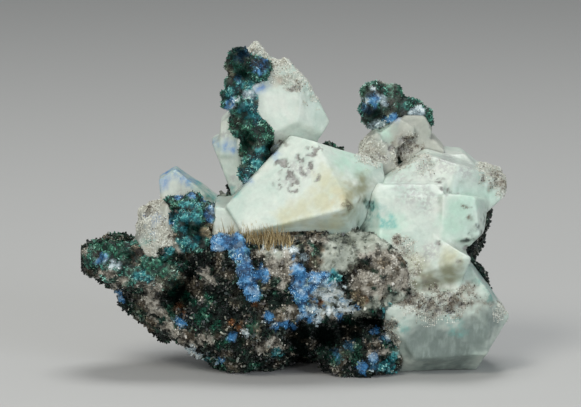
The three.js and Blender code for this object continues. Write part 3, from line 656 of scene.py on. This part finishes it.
# Tints, damage and painted shade on the crystals' display side, in the same form as the rock's minerals.
TINT_EDGE = 1.6
TINTS = {
    "mint": (1.4, 3.0, [
        (345, 160, 10), (360, 170, 8), (460, 210, 14), (452, 225, 12), (470, 200, 8), (395, 225, 10),
        (385, 235, 10), (488, 195, 6), (388, 134, 6), (383, 128, 5),
    ]),
    "cream": (1.4, 3.0, [
        (325, 180, 10), (335, 190, 12), (345, 198, 10), (320, 200, 13), (300, 210, 12), (285, 218, 9),
        (450, 258, 8), (415, 262, 9), (335, 222, 6), (320, 226, 5),
    ]),
    "peach": (1.4, 2.6, [
        (342, 197, 5), (336, 203, 4), (351, 194, 4), (347, 203, 3),
    ]),
    # Painted shade on the faces that turn down: the block's underside and the large crystal's lower faces, in
    # an olive hue.
    "olive": (1.4, 3.0, [
        (430, 283, 9), (445, 280, 8), (358, 190, 8), (362, 180, 5), (350, 212, 6), (430, 278, 10),
        (450, 272, 9), (415, 285, 8),
    ]),
    "grey": (1.4, 2.4, [
        (430, 252, 9), (300, 172, 12), (290, 180, 9), (425, 168, 12), (445, 165, 10), (410, 195, 12),
        (425, 200, 12), (400, 180, 8), (465, 172, 10), (225, 133, 6), (236, 186, 5), (232, 178, 5),
        (185, 195, 8), (140, 225, 8), (137, 235, 7), (388, 158, 5),
    ]),
    # Painted shadow on the foot, where the block above shades it, over its own darker grey.
    "deep": (1.4, 3.4, [
        (430, 345, 26), (455, 348, 22), (475, 335, 20), (410, 345, 14), (490, 320, 12),
    ]),
    "beige": (1.4, 1.8, [
        (160, 234, 7), (149, 246, 6), (258, 50, 5), (264, 58, 4), (283, 64, 4), (290, 78, 5), (280, 80, 5),
        (398, 137, 6), (150, 205, 8), (160, 200, 7), (143, 212, 6), (370, 148, 7), (378, 155, 6),
        (365, 152, 5), (495, 172, 7), (502, 185, 6), (488, 165, 6), (398, 243, 5), (402, 250, 5),
        (410, 298, 8), (430, 303, 10), (450, 303, 9), (465, 300, 8),
    ]),
    "teal": (1.4, 1.8, [
        (373, 208, 4), (372, 216, 4), (371, 222, 4), (170, 166, 4), (182, 168, 4), (193, 176, 4),
        (201, 184, 4), (208, 190, 4), (380, 215, 7), (388, 222, 6), (373, 205, 4), (482, 275, 5),
        (488, 285, 4), (478, 265, 3), (492, 295, 3), (455, 326, 5), (463, 334, 4), (448, 320, 3),
        (405, 327, 4), (252, 120, 3), (235, 192, 4), (196, 184, 4), (203, 189, 5), (209, 194, 5),
        (214, 197, 5), (149, 235, 4), (149, 241, 4),
    ]),
    "blue": (0.9, 2.0, [
        (157, 219, 4), (152, 233, 3), (225, 146, 4), (232, 148, 4), (218, 145, 3), (255, 90, 3),
        (262, 87, 3), (247, 97, 3), (275, 152, 4), (248, 182, 3), (162, 180, 4), (166, 174, 5),
        (172, 171, 5), (178, 173, 5), (184, 177, 5), (190, 181, 4), (161, 188, 3), (153, 222, 4),
        (151, 228, 3), (147, 217, 2), (394, 118, 4),
    ]),
    "brown": (1.4, 1.0, [
        (397, 138, 5), (345, 205, 2), (351, 208, 2), (357, 198, 2), (297, 87, 3), (293, 89, 2),
        (282, 142, 3), (255, 52, 2), (150, 207, 3), (165, 227, 2), (170, 238, 3), (408, 146, 6),
        (400, 155, 5), (412, 140, 5), (403, 162, 5), (418, 145, 4), (467, 210, 3), (469, 216, 2),
        (405, 300, 5), (420, 305, 6), (435, 303, 6), (450, 305, 5), (460, 300, 4), (440, 292, 4),
        (502, 186, 4), (398, 243, 3), (497, 176, 3), (470, 305, 3), (412, 295, 4),
    ]),
    "pit": (1.0, 0.5, [
        (400, 140, 5), (408, 150, 4), (310, 150, 6), (300, 157, 5), (283, 165, 6), (289, 175, 7),
        (294, 186, 6), (306, 169, 7), (315, 178, 5), (281, 182, 4), (320, 149, 3), (297, 87, 3),
        (293, 89, 2), (282, 142, 3), (165, 228, 2), (152, 212, 2), (145, 210, 2), (369, 150, 2),
        (374, 152, 2), (375, 147, 2), (380, 157, 2), (384, 157, 3), (391, 137, 3), (396, 140, 2),
        (390, 147, 3), (386, 143, 2), (402, 136, 2), (438, 182, 3), (443, 188, 3), (447, 192, 3),
        (413, 181, 1), (458, 193, 2), (438, 243, 1), (410, 256, 1), (412, 262, 1), (424, 256, 1),
        (456, 261, 1), (443, 279, 1), (408, 278, 2), (410, 300, 3), (418, 297, 3), (430, 300, 3),
        (442, 302, 3), (425, 310, 3), (437, 311, 3), (452, 310, 3), (461, 304, 2), (450, 296, 2),
        (470, 310, 2), (465, 246, 3), (488, 168, 2), (493, 174, 2), (484, 176, 2), (497, 180, 2),
        (502, 174, 2),
    ]),
    "dust": (1.4, 1.6, [
        (470, 290, 8), (486, 300, 7), (476, 298, 7), (401, 140, 8), (430, 306, 10), (430, 286, 9),
        (495, 175, 6), (490, 184, 5), (398, 137, 5), (150, 210, 6), (410, 298, 9), (425, 302, 10),
        (440, 304, 10), (455, 304, 9), (470, 305, 8), (400, 288, 6), (445, 290, 6), (478, 312, 6),
        (408, 262, 4), (411, 275, 5), (404, 252, 4), (398, 243, 4),
    ]),
    "streak": (1.4, 3.0, [
        (410, 335, 10), (425, 350, 14), (440, 335, 14), (458, 345, 14), (475, 330, 12), (488, 318, 8),
    ]),
    # Partly painted shade in the clefts and crevices, and partly dark patches at the right edge and left of
    # the foot.
    "dark": (1.2, 0.8, [
        (439, 184, 3), (444, 188, 3), (448, 193, 2), (465, 246, 3), (468, 241, 3), (472, 236, 3),
        (475, 230, 3), (371, 201, 2), (370, 207, 2.5), (369, 213, 2.5), (368, 219, 2.5), (366, 225, 2.5),
        (362, 230, 3), (386, 316, 6), (388, 327, 7), (391, 338, 7), (393, 349, 6), (396, 359, 5),
        (490, 215, 5), (487, 225, 5), (485, 235, 6),
    ]),
    "rough": (1.4, 2.0, [
        (146, 226, 10), (154, 243, 9), (160, 222, 8), (400, 243, 6), (408, 252, 7), (411, 265, 7),
        (409, 278, 7), (404, 290, 7), (388, 327, 8), (391, 342, 8), (258, 50, 8), (275, 68, 9),
        (290, 78, 10), (300, 85, 6), (283, 64, 8), (307, 90, 5), (312, 100, 4), (495, 175, 12),
        (488, 163, 8), (505, 190, 6), (430, 305, 16), (450, 305, 14), (410, 300, 12), (465, 300, 10),
        (500, 312, 6), (150, 205, 10), (165, 235, 10), (372, 152, 12), (402, 158, 10), (412, 142, 8),
        (425, 165, 8),
    ]),
}
# What each tint looks like, and the pattern that breaks it up: none, patchy, broken or streaky.
# Of these, olive is painted shade on the faces turned down, the grey-green marked for the foot is painted
# shadow over its own grey, and dark is partly painted shade in the clefts.
TINT_COLOURS = {
    "mint": ("#b0ccbc", None), "cream": ("#babda2", None), "peach": ("#b9b493", None),
    "olive": ("#8e9178", None), "deep": ("#727f79", None), "grey": ("#a3a8a3", "broken"),
    "beige": ("#a8a292", "patchy"), "dust": ("#7b786c", "patchy"), "teal": ("#5ba49c", "patchy"),
    "blue": ("#3f7dbb", "patchy"), "brown": ("#5c4f3c", "broken"), "dark": ("#2b3531", "patchy"),
    "streak": ("#8c9992", "streaky"),
    "sunk": ("#aeaea9", None), "pit": ("#6b6963", None),
}


def anglesite(name, palest, deepest, dullness):
    """A milky crystal finish: a cloudy body, over-painted with the tints, under a soft waxy gloss."""
    made, tree = new_material(name)
    where = node(tree, "TexCoord").outputs["Object"]
    # The cloudiness changes over about 8 mm, the mottling over 2.4 mm and the specks over 0.8 mm.
    clouds = node(tree, "TexNoise",
                  {"Scale": 1 / (8 * MM), "Detail": 5.0, "Roughness": 0.62, "Distortion": 0.6},
                  {"Vector": where}).outputs["Fac"]
    mottle = node(tree, "TexNoise", {"Scale": 1 / (2.4 * MM), "Detail": 5.0, "Roughness": 0.7},
                  {"Vector": where}).outputs["Fac"]
    specks = node(tree, "TexNoise", {"Scale": 1 / (0.8 * MM), "Detail": 4.0, "Roughness": 0.65},
                  {"Vector": where}).outputs["Fac"]
    # Growth lines run up the crystals, five times as long as they are wide.
    upright = node(tree, "Mapping", {"Scale": (1.0, 1.0, 0.2)}, {"Vector": where}).outputs[0]
    lines = node(tree, "TexNoise", {"Scale": 1 / (0.9 * MM), "Detail": 4.0, "Roughness": 0.6},
                 {"Vector": upright}).outputs["Fac"]
    patterns = {
        None: None,
        "streaky": node(tree, "MapRange", {"From Min": 0.46, "From Max": 0.66}, {"Value": lines}).outputs[0],
        "patchy": node(tree, "MapRange", {"From Min": 0.38, "From Max": 0.60}, {"Value": mottle}).outputs[0],
        "broken": node(tree, "MapRange", {"From Min": 0.42, "From Max": 0.56}, {"Value": specks}).outputs[0],
    }
    colour = ramp(tree, [(0.34, deepest), (0.66, palest)], clouds)
    for label, (code, pattern) in TINT_COLOURS.items():
        mask = node(tree, "Attribute", {"attribute_name": label}).outputs["Fac"]
        if pattern:
            mask = node(tree, "Math", {"operation": "MULTIPLY", "use_clamp": True},
                        {0: mask, 1: patterns[pattern]}).outputs[0]
        painted = node(tree, "Mix", {"data_type": "RGBA", 7: linear(code)}, {"Factor": mask, 6: colour})
        colour = painted.outputs[2]
    # Fine light and dark specks and faint veils lie through the whole crystal.
    grey = node(tree, "MapRange", {"From Min": 0.25, "From Max": 0.75, "To Min": 0.87, "To Max": 1.07},
                {"Value": mottle}).outputs[0]
    fine = node(tree, "MapRange", {"From Min": 0.2, "From Max": 0.8, "To Min": 0.90, "To Max": 1.06},
                {"Value": specks}).outputs[0]
    both = node(tree, "Math", {"operation": "MULTIPLY"}, {0: grey, 1: fine}).outputs[0]
    colour = node(tree, "VectorMath", {"operation": "SCALE"}, {0: colour, "Scale": both}).outputs[0]
    pit = node(tree, "Attribute", {"attribute_name": "pit"}).outputs["Fac"]
    dulled = node(tree, "Math", {"operation": "MULTIPLY_ADD", 1: 0.30, 2: dullness}, {0: mottle}).outputs[0]
    gloss = node(tree, "Math", {"operation": "MULTIPLY_ADD", 1: 0.3}, {0: pit, 2: dulled}).outputs[0]
    relief = node(tree, "Math", {"operation": "ADD"}, {0: specks, 1: mottle}).outputs[0]
    rough = node(tree, "Attribute", {"attribute_name": "rough"}).outputs["Fac"]
    strength = node(tree, "Math", {"operation": "MULTIPLY_ADD", 1: 0.7, 2: 0.12}, {0: rough}).outputs[0]
    etched = node(tree, "Bump", {"Distance": 0.2 * MM}, {"Height": relief, "Strength": strength})
    surface = node(tree, "BsdfPrincipled",
                   {"IOR": 1.88, "Specular IOR Level": 0.28, "Subsurface Weight": 0.45,
                    "Subsurface Radius": (1.0, 1.05, 0.95), "Subsurface Scale": 2.0 * MM},
                   {"Base Color": colour, "Roughness": gloss, "Normal": etched.outputs["Normal"]})
    node(tree, "OutputMaterial", links={"Surface": surface.outputs["BSDF"]})
    return made


# Natural crystal faces dulled by etching: light enters the corners and glows there. The etched ones are
# sugary and hardly glossy.
FINISHES = {
    "anglesite": anglesite("milky_anglesite", "#cbd2c8", "#b0c3b8", 0.24),
    "etched_anglesite": anglesite("sugary_etched_anglesite", "#b4b6ab", "#959b91", 0.42),
}


def pitted(points, inside):
    """Angular pits where inside is over 0: how far each point is sunk, and how near a pit's edge, 0 to 1."""
    depth, edge = np.zeros(len(points)), np.zeros(len(points))
    for i in np.nonzero(inside > 0)[0]:
        place = Vector(points[i]) / PIT_SIZE
        # The pits' walls are crooked, and about half of the cells stay whole.
        place += 0.35 * noise.noise_vector(place * 3)
        distances, middles = noise.voronoi(place)
        if noise.noise(middles[0] * 3) > -0.05:
            border = distances[1] - distances[0]
            depth[i] = inside[i] * min(1.0, border * 5)
            edge[i] = inside[i] * max(0.0, 1 - border * 3)
    return depth, edge


sugared = []
for cad_node, (voxel, filled, bend, step, fine, slot) in CRYSTALS.items():
    crystal = fine_copy(cad_node + "_face", cad_node, voxel, filled=filled)
    points, facing = points_of(crystal)
    tints = marked(points, TINTS, TINT_EDGE)
    tints["sunk"], tints["pit"] = pitted(points, tints["pit"])
    near = closeness(points, cad_node)
    lift = CRYSTAL_SWELL + bend * waves(points, BEND_SIZE, octaves=2) + fine * waves(points, 1.1, octaves=3)
    lift += step * np.round(3 * waves(points, STEP_SIZE, octaves=2, shift=9.0))
    lift += tints["rough"] * (ETCH_DEPTH * waves(points, 2.0, octaves=3, shift=3.0) - 0.15)
    lift = lift * (1 - near) + CRYSTAL_CONTACT * near - PIT_DEPTH * tints["sunk"]
    for label, values in tints.items():
        note(crystal, label, values)
    settle(crystal, points + facing * lift[:, None])
    crystal.data.materials.append(FINISHES[slot])
    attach(crystal, "root")
    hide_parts(cad_node)
    middles, facing, area = faces_of(crystal)
    tints = marked(middles, TINTS, TINT_EDGE)
    sugared.append((middles, facing, area * tints["rough"] ** 2 * (1 - 0.7 * tints["dark"]), tints))


# Sugar on the crystals
# Loose-looking sugary grains where the crystals are etched rough: the tower's top, the right rim, the band
# above the foot, the left shoulder and the spire. They are the same mineral, stained beige and brown.
SUGAR_GRAINS = 17500
SUGAR_WIDTH = (0.2, 0.6)
SUGAR_LENGTH = (0.2, 0.55)
SUGAR_LEAN = 1.0
SUGAR_CLUMP = 1.8
# How much the brown and dusty stains, and the dark marks that are partly painted shade in the clefts, darken
# the grains, and their colours from the stained and shaded gaps to the clean white tops.
STAINS_AND_PAINTED_SHADE = {"brown": 0.34, "dust": 0.40, "dark": 0.6}
SUGAR_RAMP = [(0.0, "#38342d"), (0.14, "#777366"), (0.38, "#a7a598"), (0.72, "#c8cabf"), (1.0, "#dcdfd6")]
middles, facing, chance = (np.concatenate([part[i] for part in sugared]) for i in range(3))
clumps = waves(middles, SUGAR_CLUMP, octaves=2, shift=21.0)
picked = pick(SUGAR_GRAINS, chance * np.clip(0.6 + clumps, 0, 1))
tone = draw.beta(2.6, 1.3, len(picked))
for label, depth in STAINS_AND_PAINTED_SHADE.items():
    tone -= depth * np.concatenate([part[3][label] for part in sugared])[picked]
notes = {"shade": np.clip(tone + 0.2 * clumps[picked], 0, 1)}
places, directions = middles[picked], facing[picked]
sugar_grains = strew(
    "sugar_on_crystals", blunt, places, directions, SUGAR_WIDTH, SUGAR_LENGTH, SUGAR_LEAN, notes
)
# Etched crystal sugar: tiny faces that catch the light one by one.
sugar_grains.data.materials.append(mineral_mix("etched_anglesite_sugar", SUGAR_RAMP, 0.5, 0.3))
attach(sugar_grains, "root")


# Green and blue crusts
# Felted druses of fine copper minerals over small knobs: dark green to teal needles on the tower, spire,
# shoulder and shelf, and bright blue blades in the bands on the front. Each knob is thick with needles.
CRUST_VOXEL = 0.36
CRUST_FILLED = 0.6
# Lumps by their width and height in mm.
CRUST_ROUGH = [(2.6, 0.55), (1.1, 0.25)]
CRUST_CONTACT = 0.35
# How much the painted shade and dark patches darken the crust.
CRUST_DARKNESS = 0.9
ROSETTE_SIZE = 1.9
ROSETTE_HEIGHT = 0.4
NEEDLES_PER_MM2 = 5.8
NEEDLE_WIDTH = (0.12, 0.46)
NEEDLE_LENGTH = (0.2, 0.75)
NEEDLE_LEAN = 0.9
CRUSTS = {
    "tower_green_crust": "green_crust",
    "spire_green_crust": "green_crust",
    "shoulder_green_crust": "green_crust",
    "shelf_green_crust": "green_crust",
    "left_blue_crust": "blue_crust",
    "right_blue_crust": "blue_crust",
}
# Fine needles of green and blue copper minerals: silky, so the mass is soft to look at with small glints.
crust_finishes = {
    "green_crust": mineral_mix("felted_green_druse", CRUST_RAMP, 0.5, 0.25),
    "blue_crust": mineral_mix("felted_blue_druse", MINERAL_RAMPS["blue"], 0.5, 0.25),
}
needle = grain(3, 0.4)
for cad_node, slot in CRUSTS.items():
    crust = fine_copy(cad_node + "_knobs", cad_node, CRUST_VOXEL, filled=CRUST_FILLED)
    points, facing = points_of(crust)
    lift = sum(depth * waves(points, size, octaves=2, shift=size) for size, depth in CRUST_ROUGH)
    curls = rosettes(points, ROSETTE_SIZE)
    lift += ROSETTE_HEIGHT * (curls - 0.5)
    near = closeness(points, cad_node)
    settle(crust, points + facing * (lift * (1 - 0.6 * near) + CRUST_CONTACT * near)[:, None])
    minerals = minerals_at(points)
    # Painted light and shade: the knobs and the rosettes' rings are painted paler and the gaps between them
    # darker; the painted shade and dark patches darken the hollows.
    shade = 0.10 + 0.3 * lift + 0.35 * curls + 0.25 * waves(points, 0.7, octaves=2)
    note(crust, "shade", np.clip(shade * (1 - CRUST_DARKNESS * minerals["deep"]), 0, 1))
    for label, values in minerals.items():
        note(crust, label, values)
    middles, facing, area = faces_of(crust)
    curls = rosettes(middles, ROSETTE_SIZE)
    picked = pick(int(area.sum() * NEEDLES_PER_MM2), area * (0.3 + curls))
    places, directions = middles[picked], facing[picked]
    notes = minerals_at(places)
    # Needles on the rosettes' rings are painted paler than those in the gaps, which is painted light and
    # shade; a broad wash of noise varies them, and the painted shade and dark patches darken some.
    tone = 0.14 + 0.7 * draw.beta(1.3, 2.4, len(picked)) + 0.36 * curls[picked]
    tone += 0.3 * waves(places, 2.2, octaves=2)
    notes["shade"] = np.clip(tone * (1 - CRUST_DARKNESS * notes["deep"]), 0, 1)
    needles = strew(
        cad_node + "_needles", needle, places, directions, NEEDLE_WIDTH, NEEDLE_LENGTH, NEEDLE_LEAN, notes
    )
    for piece in (crust, needles):
        piece.data.materials.append(crust_finishes[slot])
        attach(piece, "root")
    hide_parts(cad_node)
